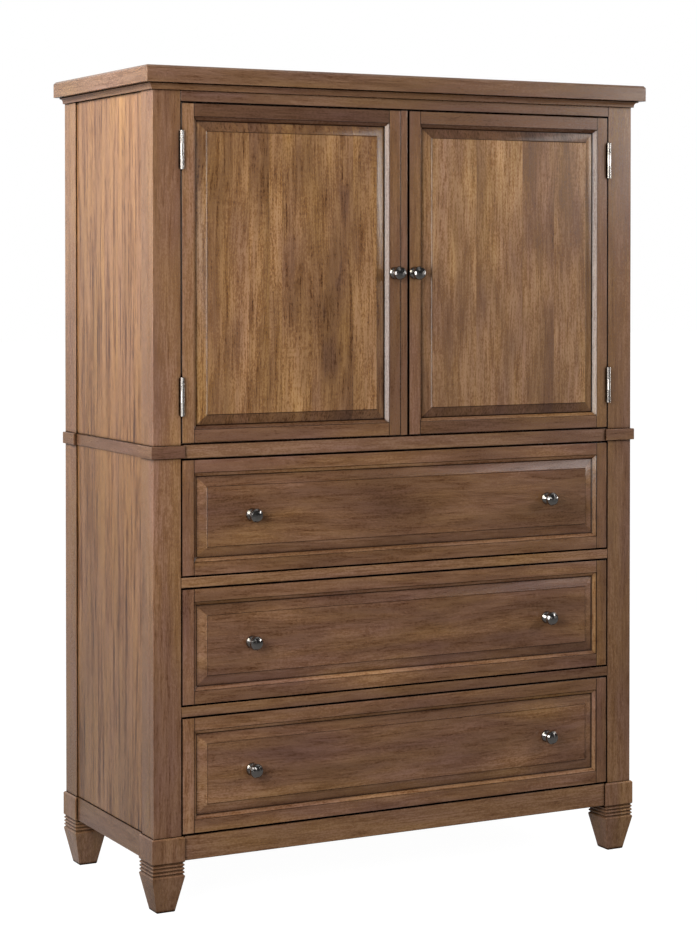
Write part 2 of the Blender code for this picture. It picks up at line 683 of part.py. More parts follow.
def tube(outer, inner, low, high, sides=KNUCKLE_SIDES):
    """A plain ring, skinned round its outer and inner walls."""
    bm = bmesh.new()
    rows = []
    for radius, z in ((outer, low), (outer, high), (inner, high), (inner, low)):
        row = []
        for i in range(sides):
            turn = 2 * math.pi * i / sides
            row.append(bm.verts.new((radius * math.cos(turn), radius * math.sin(turn), z)))
        rows.append(row)
    for near, far in zip(rows, rows[1:] + rows[:1]):
        for i in range(sides):
            j = (i + 1) % sides
            bm.faces.new((near[i], near[j], far[j], far[i]))
    return bm


def hinge(case, door_axis, body, side):
    """Butt hinges: the case's leaf has the end knuckles and the pin, the door's leaf turns on the pin."""
    half = HINGE_LENGTH / 2
    middle = KNUCKLE_MIDDLE / 2
    clear = KNUCKLE_RADIUS + SEAT
    for level_name, level in HINGE_LEVELS.items():
        name = f"{body}_hinge_{level_name}"
        pin_line = (side * HINGE_AXIS_X, HINGE_AXIS_Y, level)
        bm = prism("Z", leaf_outline(side), -half, half)
        fixed = piece(f"{name}_case_leaf", bm, case, POLISHED_NICKEL, pin_line, smooth=True)
        gap = tube(clear, PIN_RADIUS, -middle - SEAT / 2, middle + SEAT / 2)
        tool(fixed, "DIFFERENCE", f"{name}_case_gap", gap, pin_line)
        bm = prism("Z", leaf_outline(-side), -half, half)
        turning = piece(f"{name}_door_leaf", bm, door_axis, POLISHED_NICKEL, (0, 0, level), smooth=True)
        knuckle_end = middle - SEAT / 2
        for end_name, low, high in (("low", -half * 2, -knuckle_end), ("high", knuckle_end, half * 2)):
            gap = cylinder(clear, low, high)
            tool(turning, "DIFFERENCE", f"{name}_door_gap_{end_name}", gap, (0, 0, level))
        bore = cylinder(PIN_RADIUS + SEAT, -2 * middle, 2 * middle)
        tool(turning, "DIFFERENCE", f"{name}_bore", bore, (0, 0, level))


def drawer_front(body, slide, sill):
    """Front with a frame's sticking and a raised field worked on it."""
    steps = [(0, FRONT_THICKNESS), (0, EDGE_EASE), (EDGE_EASE, 0), (FRAME_FLAT, 0), *sticking()]
    steps += raised_field()
    low = sill + DRAWER_FACE_GAP
    rings = []
    for inset, depth in steps:
        rings.append(rectangle(-FRONT_HALF_WIDTH, FRONT_HALF_WIDTH, low, low + FRONT_HEIGHT, inset, depth))
    piece(f"{body}_front", loft(rings), slide, WOOD)


def drawer_box(body, slide, sill):
    """Two sides and a back in one ring of walls, open to the front board, grooved for the base."""
    front, back = BOX_FRONT, BOX_BACK
    out, inside = BOX_HALF_WIDTH, BOX_HALF_WIDTH - WALL_THICKNESS
    outline = [
        (-out, front), (-out, back), (out, back), (out, front),
        (inside, front), (inside, back - WALL_THICKNESS), (-inside, back - WALL_THICKNESS), (-inside, front),
    ]
    bottom = sill + SEAT
    walls = piece(f"{body}_walls", prism("Z", outline, bottom, bottom + WALL_HEIGHT), slide, INNER_WOOD)
    base_low = bottom + BASE_RAISE
    base_x = inside + BASE_HOUSING
    base_back = back - WALL_THICKNESS + BASE_HOUSING
    groove = box(
        (-base_x - SEAT, front - WALL_THICKNESS, base_low - SEAT),
        (base_x + SEAT, base_back + SEAT, base_low + BASE_THICKNESS + SEAT),
    )
    tool(walls, "DIFFERENCE", f"{body}_base_groove", groove)
    base = box((-base_x, front, base_low), (base_x, base_back, base_low + BASE_THICKNESS))
    piece(f"{body}_base", base, slide, INNER_WOOD)


def drawer(case, body, sill):
    """A drawer that slides towards the front along its own empty."""
    slide = empty(f"{body}_slide", (0, 0, 0), case)
    drawer_front(body, slide, sill)
    drawer_box(body, slide, sill)
    middle = sill + DRAWER_OPENING / 2
    knob_x = FRONT_HALF_WIDTH - DRAWER_KNOB_INSET
    for side_name, side in (("left", -1), ("right", 1)):
        knob(f"{body}_knob_{side_name}", slide, side * knob_x, middle, FIELD_SETBACK)


def build():
    clear_scene()
    case = empty("case_frame", (0, FRONT_Y, 0))
    top_slab(case)
    cornice_moulding(case)
    for side_name, side in (("left", -1), ("right", 1)):
        front_post(case, f"front_post_{side_name}", side)
        back_post(case, f"back_post_{side_name}", side)
        side_panel(case, f"side_panel_{side_name}", side)
        side_apron(case, f"side_apron_{side_name}", side)
        waist_band(case, f"waist_band_{side_name}", side)
        leg(case, f"leg_front_{side_name}", side, False)
        leg(case, f"leg_back_{side_name}", side, True)
    rail_x = HALF_OPENING - SEAT
    front_rail(case, "top_rail", TOP_RAIL_BOTTOM, POST_TOP, rail_x)
    front_rail(case, "waist_rail", WAIST_BOTTOM, WAIST_TOP, rail_x)
    apron_x = HALF_WIDTH - BLOCK_SIZE + BLOCK_PROUD - SEAT
    front_rail(case, "front_apron", BLOCK_BOTTOM, BLOCK_TOP, apron_x)
    boards(case)
    back_panel(case)
    knob_level = (DOOR_BOTTOM + DOOR_TOP) / 2
    for side_name, side in (("left", -1), ("right", 1)):
        body = f"door_{side_name}"
        door(case, body, side)
        axis = bpy.data.objects[f"{body}_axis"]
        hinge(case, axis, body, side)
        knob_x = side * (DOOR_OUTER_X - DOOR_WIDTH + FRAME_FLAT / 2 - HINGE_AXIS_X)
        knob(f"{body}_knob", axis, knob_x, knob_level, -HINGE_AXIS_Y)
    for body, sill in zip(("drawer_lower", "drawer_middle", "drawer_upper"), DRAWER_SILLS):
        drawer(case, body, sill)


build()
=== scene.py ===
"""Looks of the door chest: brown stained wood under a satin finish, dark nickel knobs, polished hinges."""

import math

import bmesh
import bpy
from mathutils import Matrix, Vector


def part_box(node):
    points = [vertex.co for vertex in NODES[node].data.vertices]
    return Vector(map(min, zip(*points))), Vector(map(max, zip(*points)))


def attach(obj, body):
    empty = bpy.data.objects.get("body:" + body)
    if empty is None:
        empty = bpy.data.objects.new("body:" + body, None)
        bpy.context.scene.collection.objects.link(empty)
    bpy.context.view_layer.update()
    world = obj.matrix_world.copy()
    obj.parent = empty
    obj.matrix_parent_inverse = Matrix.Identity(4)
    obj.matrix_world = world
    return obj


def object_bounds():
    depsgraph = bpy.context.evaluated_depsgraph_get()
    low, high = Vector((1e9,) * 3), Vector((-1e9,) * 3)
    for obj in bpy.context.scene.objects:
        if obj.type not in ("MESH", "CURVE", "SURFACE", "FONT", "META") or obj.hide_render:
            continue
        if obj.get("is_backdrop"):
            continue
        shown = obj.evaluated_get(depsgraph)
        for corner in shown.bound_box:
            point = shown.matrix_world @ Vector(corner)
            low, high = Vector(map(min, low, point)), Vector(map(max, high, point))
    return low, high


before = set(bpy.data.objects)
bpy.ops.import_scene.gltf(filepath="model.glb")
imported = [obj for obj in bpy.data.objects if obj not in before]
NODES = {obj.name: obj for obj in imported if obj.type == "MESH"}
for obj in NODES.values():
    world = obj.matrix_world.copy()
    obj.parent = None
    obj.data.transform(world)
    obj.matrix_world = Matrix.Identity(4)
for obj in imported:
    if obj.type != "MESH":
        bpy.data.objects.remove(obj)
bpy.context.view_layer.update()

SIDES = ("left", "right")
LEVELS = ("lower", "middle", "upper")

# Places read from the frame, in metres
POST_LOW, POST_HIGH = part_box("front_post_left")
FRONT_Y = POST_LOW.y
HALF_WIDTH = -POST_LOW.x
HALF_OPENING = -POST_HIGH.x
DRAWER_HALF_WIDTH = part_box("drawer_lower_front")[1].x

# Camera, as solved from the photograph
CAMERA_PLACE = (-2.1233, -4.0015, 1.1638)
CAMERA_YAW = 27.83
CAMERA_PITCH = -1.026
CAMERA_LENS = 87.155
CAMERA_SHIFT_Y = -0.1751

# Where the flat frame, its moulding and the panel's bevel end, in from the edge of a front
FRAME_FLAT = 0.024
FRAME_WIDTH = 0.031
BEVEL_END = 0.0503

# How far from the middle the doors reach, and where the left door's meeting strip begins
DOOR_REACH = 0.4594
DOOR_MEETING = 0.0093

# Dovetails of the drawer boxes: widths are in shares of a tail's pitch
TAIL_COUNT = 4
TAIL_LENGTH = 0.012
TAIL_HALF_WIDTH = 0.36
TAIL_FLARE = -8.0

# An edge of a front counts as a point's nearest if no other edge is nearer by more than this
MITRE_PLAY = 0.0001

# Screws: where they sit in a hinge leaf and in the back panel, and their heads' radii
HINGE_AXIS_X = 0.4603
LEAF_GAP = 0.0003
LEAF_FACES = {"case_leaf": HINGE_AXIS_X + LEAF_GAP, "door_leaf": HINGE_AXIS_X - LEAF_GAP}
LEAF_SCREW_PLACES = ((0.14, 0.0065), (0.5, 0.0105), (0.86, 0.0065))
BACK_SCREW_ROWS = 8
BACK_SCREW_FROM_END = 0.02
BACK_SCREW_FROM_SIDE = 0.012
LEAF_SCREW, KNOB_SCREW, BACK_SCREW = 0.0024, 0.0042, 0.0035
SCREW_SIDES = 20
SCREW_TAPER = 0.86
SCREW_RISE = 0.00025
SCREW_SEAT = 0.0001
# Near-black bars laid on each head are painted shade standing for its recess
SLOT_SHADE_BARS = ((1.1, 0.26), (0.26, 1.1))
SLOT_SHADE_HEIGHT = 0.00006

# How red, green and blue follow lightness: broad patches keep their hue, fine dark grain turns redder
BROAD_CHANGE = (0.51, 0.57, 0.55)
FINE_CHANGE = (0.42, 0.57, 0.80)
FINE_ACROSS = 60

# How much more the fine grain reaches into the dark than into the light
DARK_LEAN = 0.6

# Offsets that take noise to an unrelated part of itself: per seed, board, mitre, sideways bend and ripple
SEED_STEP = (1.37, 2.71, 3.93)
BOARD_STEP = (3.17, 1.91, 5.3)
MITRE_STEP = (2.1, 1.3, 0.7)
BEND_STEP = (9.1, 3.3, 5.7)
RIPPLE_STEP = (4.4, 2.2, 1.1)

# Grain along Z: a scale is in features per metre, a rise is the noise levels that a feature sets in between
BEND_ACROSS = 5.0
BEND_ALONG = 2.2
RING_BEND_ALONG = 3.0
RING_BEND = 0.02
RING_WANDER_SCALE = (9.0, 9.0, 2.4)
RING_WANDER = 3.2
RING_RISE = (0.35, 0.95)
RING_MEAN = 0.45
RIPPLE_SCALE = (48.0, 48.0, 210.0)
RIPPLE_PATCH_SCALE = (7.0, 7.0, 4.0)
RIPPLE_PATCH_RISE = (0.48, 0.66)
PORE_SCALE = (520.0, 520.0, 38.0)
PORE_RISE = (0.63, 0.73)
GOLDEN_SCALE = (22.0, 22.0, 4.0)
TORN_SCALE = (60.0, 60.0, 14.0)

# Marks: the even core of a blob, how far a large one's rim is torn, the largest knot, the change of hue
BLOB_CORE = 0.2
TORN_REACH = 0.05
KNOT_SIZE = 0.015
MARK_HUE = 0.22

# Hue of the stain from its cool to its golden parts
HUES = [(0.30, (0.94, 0.92, 1.16)), (0.70, (1.07, 1.07, 0.87))]

# Drawn lines: the dark colour of joint lines and of painted shade along gaps and creases, and its share, and
# each kind's even core and faded rim as half widths
JOINT_AND_SHADE_LINE_COLOUR = (0.012, 0.0045, 0.0025)
LINE_SHARE = 0.75
BOARD_LINE_TONE = 0.10
BOARD_LINE = (0.0004, 0.0011)
EDGE_LINE = (0.0005, 0.0013)
RAIL_END_LINE = (0.0004, 0.0012)
RAIL_END_PLACE = FRAME_FLAT + 0.0005
TAIL_FOOT_LINE = (0.0003, 0.0007)
TAIL_SIDE_LINE = (0.008, 0.022)

# Darker colour in hollows, partly stain that gathers there and partly painted shade, and painted shade as
# near black inside the gaps, with the openness each fades out over
GLAZE_AND_SHADE_REACH = 0.008
GLAZE_AND_SHADE_SAMPLES = 8
HOLLOW_GLAZE_AND_SHADE_COLOUR = (0.020, 0.008, 0.004)
HOLLOW_SHARE = 0.85
HOLLOW_FADE = (0.40, 0.94)
GAP_SHADE_COLOUR = (0.0012, 0.0004, 0.0003)
GAP_FADE = (0.50, 0.74)

# Satin finish over the wood: roughness from the darkest to the lightest grain, relief, shine in the open
WOOD_ROUGHNESS = (0.30, 0.22)
GRAIN_RELIEF = 0.10
GRAIN_DEPTH = 0.0003
SHINE = 0.42
SHINE_FADE = (0.6, 0.9)
EASE_WIDTH = 0.0008
EASE_ANGLE = 38
WELD_DISTANCE = 0.00002

# Metal: how fine its wear is, and how much that changes its colour and its roughness
WEAR_SCALE = 160.0
WEAR_RANGE = (0.3, 0.7)
WEAR_DARKENING = 0.9
WEAR_ROUGHNESS = (0.9, 1.1)


class Graph:
    """Short calls that build one material's node graph; an argument is a number or another node's output."""

    def __init__(self, name):
        self.material = bpy.data.materials.new(name)
        self.material.use_nodes = True
        self.tree = self.material.node_tree
        self.tree.nodes.clear()
        self.coordinates = self.tree.nodes.new("ShaderNodeTexCoord")

    def node(self, kind, **settings):
        made = self.tree.nodes.new(f"ShaderNode{kind}")
        for key, value in settings.items():
            setattr(made, key, value)
        return made

    def put(self, value, socket):
        if isinstance(value, bpy.types.NodeSocket):
            self.tree.links.new(value, socket)
        else:
            socket.default_value = value

    def math(self, operation, a, b=0.0):
        made = self.node("Math", operation=operation)
        self.put(a, made.inputs[0])
        self.put(b, made.inputs[1])
        return made.outputs[0]

    def add(self, *terms):
        total = terms[0]
        for term in terms[1:]:
            total = self.math("ADD", total, term)
        return total

    def times(self, a, b):
        return self.math("MULTIPLY", a, b)

    def minus(self, a, b):
        return self.math("SUBTRACT", a, b)

    def least(self, *values):
        smallest = values[0]
        for value in values[1:]:
            smallest = self.math("MINIMUM", smallest, value)
        return smallest

    def vector(self, x, y, z):
        made = self.node("CombineXYZ")
        for value, socket in zip((x, y, z), made.inputs):
            self.put(value, socket)
        return made.outputs[0]

    def split(self, vector):
        made = self.node("SeparateXYZ")
        self.put(vector, made.inputs[0])
        return made.outputs

    def of_vectors(self, operation, a, b):
        made = self.node("VectorMath", operation=operation)
        self.put(a, made.inputs[0])
        self.put(b, made.inputs[1])
        return made.outputs[0]

    def scaled(self, vector, scale):
        return self.of_vectors("MULTIPLY", vector, scale)

    def moved(self, vector, offset):
        return self.of_vectors("ADD", vector, offset)

    def length(self, vector):
        made = self.node("VectorMath", operation="LENGTH")
        self.put(vector, made.inputs[0])
        return made.outputs["Value"]

    def noise(self, vector, scale=1.0, detail=1.0, roughness=0.5):
        made = self.node("TexNoise")
        self.put(vector, made.inputs["Vector"])
        made.inputs["Scale"].default_value = scale
        made.inputs["Detail"].default_value = detail
        made.inputs["Roughness"].default_value = roughness
        return made.outputs["Fac"]

    def span(self, value, low, high, to_low=0.0, to_high=1.0, smooth=False):
        made = self.node("MapRange", interpolation_type="SMOOTHSTEP" if smooth else "LINEAR")
        for given, socket in zip((value, low, high, to_low, to_high), made.inputs):
            self.put(given, socket)
        return made.outputs[0]

    def ramp(self, value, stops):
        """A colour that runs from the first stop to the second."""
        made = self.node("ValToRGB")
        for element, (position, colour) in zip(made.color_ramp.elements, stops):
            element.position, element.color = position, (*colour, 1.0)
        self.put(value, made.inputs[0])
        return made.outputs[0]

    def blend(self, share, a, b, kind="MIX"):
        made = self.node("Mix", data_type="RGBA", blend_type=kind)
        self.put(share, made.inputs[0])
        for value, socket in ((a, made.inputs[6]), (b, made.inputs[7])):
            self.put((*value, 1.0) if isinstance(value, tuple) else value, socket)
        return made.outputs[2]

    def chosen_vector(self, share, a, b):
        made = self.node("Mix", data_type="VECTOR")
        for value, socket in ((share, made.inputs[0]), (a, made.inputs[4]), (b, made.inputs[5])):
            self.put(value, socket)
        return made.outputs[1]

    def bump(self, height, strength, distance):
        made = self.node("Bump")
        made.inputs["Strength"].default_value = strength
        made.inputs["Distance"].default_value = distance
        self.put(height, made.inputs["Height"])
        return made.outputs["Normal"]

    def surface(self, **inputs):
        shader = self.node("BsdfPrincipled")
        output = self.node("OutputMaterial")
        for key, value in inputs.items():
            self.put(value, shader.inputs[key.replace("_", " ")])
        self.tree.links.new(shader.outputs[0], output.inputs[0])
        return self.material


def stained(g, base, broad, fine):
    """The base colour made lighter or darker by a broad and a fine lightness."""
    channels = []
    for level, broad_change, fine_change in zip(base, BROAD_CHANGE, FINE_CHANGE):
        power = g.add(g.times(broad, broad_change), g.times(fine, fine_change))
        channels.append(g.times(g.math("EXPONENT", power), level))
    return g.vector(*channels)


def along_grain(g, point, axis):
    """The point with the grain's direction turned to Z."""
    if axis == "Z":
        return point
    x, y, z = g.split(point)
    return g.vector(y, z, x) if axis == "X" else g.vector(z, x, y)


def centred(g, vector, scale, detail=1.0, roughness=0.5):
    """Noise about 0 that has its own scale in each direction."""
    return g.minus(g.noise(g.scaled(vector, scale), detail=detail, roughness=roughness), 0.5)


def bent(g, place, sway, along):
    """The point moved sideways a little, slowly along the grain, as real grain wanders."""
    slow = g.scaled(place, (BEND_ACROSS, BEND_ACROSS, along))
    sideways = [g.times(g.minus(g.noise(at), 0.5), sway) for at in (slow, g.moved(slow, BEND_STEP))]
    return g.moved(place, g.vector(*sideways, 0.0))


def blob(g, point, centre, radii):
    """1 within an egg-shaped region, falling to 0 at its rim."""
    away = g.of_vectors("SUBTRACT", point, centre)
    size = g.length(g.scaled(away, tuple(1.0 / radius for radius in radii)))
    return g.span(size, BLOB_CORE, 1.0, 1.0, 0.0, smooth=True)


def line_at(g, coordinate, place, core, rim, strength=1.0):
    """A line where a coordinate meets a place: full strength within its core, none past its rim."""
    away = g.math("ABSOLUTE", g.minus(coordinate, place))
    return g.span(away, core, rim, strength, 0.0)


def grain_tone(g, place, layers):
    """Lightness of the wood about 0, as sums of streaks and patches: the broad ones, then the fine ones."""
    broad, fine = 0.0, 0.0
    for across, along, amount in layers:
        wave = g.times(centred(g, place, (across, across, along), detail=2.0, roughness=0.55), amount)
        if across < FINE_ACROSS:
            broad = g.add(wave, broad)
        else:
            fine = g.add(wave, fine)
    return broad, fine


def grain_rings(g, place, rings):
    """Arches of growth rings, as a flat-sawn board shows them: centre, curve, lengthwise rate, depth."""
    centre, curve, rate, amount = rings
    x, y, z = g.split(place)
    across = g.minus(g.add(x, y), centre)
    wander = g.times(g.noise(g.scaled(place, RING_WANDER_SCALE), detail=3.0), RING_WANDER)
    phase = g.add(g.times(g.times(across, across), curve), g.times(z, rate), wander)
    rise = g.span(g.math("FRACT", phase), *RING_RISE, smooth=True)
    return g.times(g.minus(rise, RING_MEAN), -amount)


def ripples(g, place, amount):
    """Short light and dark bars across the grain, here and there."""
    bars = centred(g, place, RIPPLE_SCALE)
    where = g.span(g.noise(g.scaled(g.moved(place, RIPPLE_STEP), RIPPLE_PATCH_SCALE)), *RIPPLE_PATCH_RISE)
    return g.times(g.times(bars, where), amount)


def grain_pores(g, place, amount):
    """Short dark vessel lines, from 0 to amount."""
    return g.times(g.span(g.noise(g.scaled(place, PORE_SCALE)), *PORE_RISE), amount)


def boards(g, point, joints):
    """Boards glued side by side: a jump in the grain and in lightness at each joint along one axis."""
    axis, steps = joints
    coordinate = g.split(point)["XYZ".index(axis)]
    number, lightness, line = 0.0, 0.0, 0.0
    for place, step in steps:
        past = g.math("GREATER_THAN", coordinate, place)
        number = g.add(past, number)
        lightness = g.add(g.times(past, step), lightness)
        line = g.math("MAXIMUM", line_at(g, coordinate, place, *BOARD_LINE), line)
    return number, g.minus(lightness, g.times(line, BOARD_LINE_TONE))


def marked(g, point, place, marks, broad, golden):
    """Marks in the stain: a mark is (centre, radii, lightness); only knots keep an even rim."""
    torn = g.times(centred(g, place, TORN_SCALE, detail=3.0), TORN_REACH)
    pushed = g.moved(point, g.vector(torn, 0.0, 0.0))
    for centre, radii, lightness in marks:
        start = point if max(radii) < KNOT_SIZE else pushed
        spot = g.times(blob(g, start, centre, radii), lightness)
        broad = g.add(broad, spot)
        golden = g.add(golden, g.times(spot, MARK_HUE))
    return broad, golden


def edge_distances(g, point, low, high):
    """How far in a point is from a front's left, right, lower and upper edge."""
    x, _, z = g.split(point)
    return g.minus(x, low.x), g.minus(high.x, x), g.minus(z, low.z), g.minus(high.z, z)


def rim_tone(g, point, low, high, rings):
    """Lightness in mitred rings round a front: a ring is (start, end, left, right, bottom, top)."""
    distances = edge_distances(g, point, low, high)
    nearest = g.least(*distances)
    total = 0.0
    for start, end, *shifts in rings:
        inside = g.times(g.math("GREATER_THAN", nearest, start), g.math("LESS_THAN", nearest, end))
        for distance, shift in zip(distances, shifts):
            chosen = g.times(inside, g.math("LESS_THAN", g.minus(distance, nearest), MITRE_PLAY))
            total = g.add(g.times(chosen, shift), total)
    return total


def rim_lines(g, point, low, high, lines):
    """Share of painted shade in thin dark lines round a front, along its outer edge and in its creases: a
    line is (how far in, half width, strength).
    """
    nearest = g.least(*edge_distances(g, point, low, high))
    total = 0.0
    for place, half_width, strength in lines:
        line = line_at(g, nearest, place, half_width * 0.5, half_width, strength)
        total = g.math("MAXIMUM", line, total)
    return total


def hollow_glaze_and_shade(g, colour, openness):
    """Darker colour in grooves and against neighbours, partly gathered stain and partly painted shade, and
    painted shade as near black inside the gaps.
    """
    colour = g.blend(g.span(openness, *HOLLOW_FADE, HOLLOW_SHARE, 0.0), colour, HOLLOW_GLAZE_AND_SHADE_COLOUR)
    return g.blend(g.span(openness, *GAP_FADE, 1.0, 0.0), colour, GAP_SHADE_COLOUR)


# Stain of the doors and drawer fronts, the sides, and the rest of the case, and the bare wood inside
BASE = (0.234, 0.1135, 0.0535)
SIDE_BASE = (0.238, 0.1125, 0.0455)
FRAME_BASE = (0.2235, 0.1140, 0.0570)
INNER_BASE = (0.52, 0.36, 0.21)

# Each look's layers are (features per metre across the grain, and along it, amount of lightness)
LOOKS = {
    "side": {"base": SIDE_BASE, "pores": 0.5, "golden": 0.8, "sway": 0.014, "ripple": 0.0,
             "layers": ((4, 1.0, 1.4), (20, 1.2, 2.3), (85, 2.8, 4.0), (180, 7, 5.8), (380, 40, 3.4))},
    "frame": {"base": FRAME_BASE, "pores": 0.4, "golden": 0.9, "sway": 0.012, "ripple": 0.0,
              "layers": ((5, 1.8, 1.4), (26, 2.4, 1.4), (95, 6, 1.4), (380, 22, 2.6), (420, 190, 2.4))},
    "panel": {"base": BASE, "pores": 0.6, "golden": 0.75, "sway": 0.035, "ripple": 1.0,
              "layers": ((6, 3.2, 2.7), (15, 3.0, 2.0), (36, 10, 1.2), (110, 7, 1.6), (340, 15, 2.9),
                         (430, 190, 2.7))},
    "drawer": {"base": BASE, "pores": 0.5, "golden": 1.0, "sway": 0.03, "ripple": 0.8,
               "layers": ((7, 2.4, 2.0), (24, 4.0, 2.4), (80, 9, 1.9), (360, 20, 2.4), (420, 190, 2.4))},
    "inner": {"base": INNER_BASE, "pores": 0.2, "golden": 0.8, "sway": 0.02, "ripple": 0.0,
              "layers": ((5, 1.0, 1.2), (24, 1.4, 2.0), (95, 3.6, 2.0), (400, 12, 1.6))},
}


def wood(name, look_name, axis, seed, shift=0.0, tint=(1.0, 1.0, 1.0), crisp=1.0, joints=None, rings=None,
         marks=(), mitre=None, lines=None, rim=None, rim_line=None, polish=None):
    """One wooden piece's material, in the object's own metres."""
    g = Graph(name)
    look = LOOKS[look_name]
    point = g.coordinates.outputs["Object"]
    place = along_grain(g, point, axis)
    if mitre:
        share, other_axis = mitre(g, point)
        place = g.chosen_vector(share, place, along_grain(g, g.moved(point, MITRE_STEP), other_axis))
    extra = shift
    if joints:
        number, board_tone = boards(g, point, joints)
        extra = g.add(board_tone, extra)
        place = g.moved(place, g.vector(*(g.times(number, step) for step in BOARD_STEP)))
    place = bent(g, g.moved(place, tuple(seed * step for step in SEED_STEP)), look["sway"], BEND_ALONG)

    broad, fine = grain_tone(g, place, look["layers"])
    broad = g.add(broad, extra)
    # Painted light and shade on each side of the moulding and the bevel
    if rim:
        broad = g.add(broad, rim_tone(g, point, *rim))
    if rings:
        unmoved = bent(g, along_grain(g, point, axis), RING_BEND, RING_BEND_ALONG)
        broad = g.add(broad, grain_rings(g, unmoved, rings))
    if look["ripple"]:
        fine = g.add(fine, ripples(g, place, look["ripple"]))
    golden = g.noise(g.scaled(place, GOLDEN_SCALE), detail=3.0)
    if marks:
        broad, golden = marked(g, point, place, marks, broad, golden)
    fine = g.times(fine, crisp)
    fine = g.minus(fine, g.times(g.times(fine, fine), DARK_LEAN))
    fine = g.minus(fine, grain_pores(g, place, look["pores"]))
    tone = g.add(broad, fine)

    colour = stained(g, [level * share for level, share in zip(look["base"], tint)], broad, fine)
    colour = g.blend(look["golden"], colour, g.ramp(golden, HUES), kind="MULTIPLY")
    # Dark joint lines, and painted shade along the openings of the case's front pieces
    if lines:
        colour = g.blend(g.times(lines(g, point), LINE_SHARE), colour, JOINT_AND_SHADE_LINE_COLOUR)
    # Painted shade in thin lines along the edges and creases of a front
    if rim_line:
        colour = g.blend(rim_lines(g, point, *rim_line), colour, JOINT_AND_SHADE_LINE_COLOUR)
    # Openness drives the painted shade in hollows and gaps, and fades the shine
    hollow = g.node("AmbientOcclusion", samples=GLAZE_AND_SHADE_SAMPLES)
    hollow.inputs["Distance"].default_value = GLAZE_AND_SHADE_REACH
    openness = hollow.outputs["AO"]
    roughness = g.span(tone, -1.0, 1.0, *WOOD_ROUGHNESS)
    if polish:
        roughness = g.times(roughness, g.minus(1.0, rim_tone(g, point, *polish)))
    return g.surface(
        Base_Color=hollow_glaze_and_shade(g, colour, openness),
        Roughness=roughness,
        Normal=g.bump(tone, GRAIN_RELIEF, GRAIN_DEPTH),
        Specular_IOR_Level=g.span(openness, *SHINE_FADE, 0.0, SHINE),
    )


def metal(name, colour, roughness):
    """Worn metal: a little darker and smoother here and there."""
    g = Graph(name)
    wear = g.noise(g.coordinates.outputs["Object"], scale=WEAR_SCALE, detail=3.0)
    worn = tuple(level * WEAR_DARKENING for level in colour)
    return g.surface(
        Base_Color=g.ramp(wear, list(zip(WEAR_RANGE, (worn, colour)))),
        Metallic=1.0,
        Roughness=g.span(wear, *WEAR_RANGE, *(roughness * share for share in WEAR_ROUGHNESS)),
    )


def dress(node, material):
    slots = NODES[node].data.materials
    slots.clear()
    slots.append(material)


def soften(node):
    """Round off a wooden node's sharp edges, as sanding does."""
    thing = NODES[node]
    weld = thing.modifiers.new("weld", "WELD")
    weld.merge_threshold = WELD_DISTANCE
    bevel = thing.modifiers.new("ease", "BEVEL")
    bevel.width = EASE_WIDTH
    bevel.segments = 2
    bevel.limit_method = "ANGLE"
    bevel.angle_limit = math.radians(EASE_ANGLE)
    bevel.use_clamp_overlap = True
    normals = thing.modifiers.new("normals", "WEIGHTED_NORMAL")
    normals.keep_sharp = False


# Which look each wooden piece has, and the axis its grain lies along
GRAIN = {"back_panel": ("side", "Z")}
for node in ("top_slab", "cornice_moulding", "top_rail", "waist_rail", "front_apron", "dust_panel_lower",
             "dust_panel_middle", "dust_panel_upper", "cabinet_floor", "shelf"):
    GRAIN[node] = ("frame", "X")
for side in SIDES:
    GRAIN[f"side_panel_{side}"] = ("side", "Z")
    GRAIN[f"side_apron_{side}"] = ("frame", "Y")
    GRAIN[f"waist_band_{side}"] = ("frame", "X")
    for upright in ("front_post", "back_post", "leg_front", "leg_back"):
        GRAIN[f"{upright}_{side}"] = ("frame", "Z")
    for member in ("stile_outer", "stile_inner"):
        GRAIN[f"door_{side}_{member}"] = ("frame", "Z")
    for member in ("rail_top", "rail_bottom"):
        GRAIN[f"door_{side}_{member}"] = ("frame", "X")
    GRAIN[f"door_{side}_panel"] = ("panel", "Z")
for level in LEVELS:
    GRAIN[f"drawer_{level}_front"] = ("drawer", "X")
    GRAIN[f"drawer_{level}_walls"] = ("inner", "Y")
    GRAIN[f"drawer_{level}_base"] = ("inner", "X")


def returns(g, point):
    """Side parts of a moulding, with the grain along Y, beyond the mitre at each front corner."""
    x, y, _ = g.split(point)
    outward = g.minus(g.math("ABSOLUTE", x), HALF_WIDTH)
    forward = g.minus(FRONT_Y, y)
    return g.math("GREATER_THAN", outward, forward), "Y"


# How much lighter or darker than the common stain a piece is: partly its own stain, partly painted shade and
# light, as on the pieces under the slab
STAIN_AND_SHADE_SHIFTS = {
    "top_slab": -0.30, "cornice_moulding": -0.60, "top_rail": -0.25,
    "door_left_rail_top": -1.25, "door_right_rail_top": -0.40,
    "door_left_rail_bottom": -0.40, "door_right_rail_bottom": -0.55,
    "door_left_stile_outer": 0.28, "door_left_stile_inner": -0.38, "door_right_stile_inner": -0.25,
    "door_left_panel": 0.25, "door_right_panel": 0.40, "side_apron_left": -0.25,
    "dust_panel_upper": 0.35, "dust_panel_middle": -0.25, "front_apron": 0.25,
    "drawer_upper_front": -0.30, "drawer_middle_front": -0.28, "drawer_lower_front": -0.02,
    "waist_band_left": -0.38, "waist_band_right": -0.20, "leg_front_left": -0.10, "leg_front_right": 0.50,
    "leg_back_left": 0.30,
}

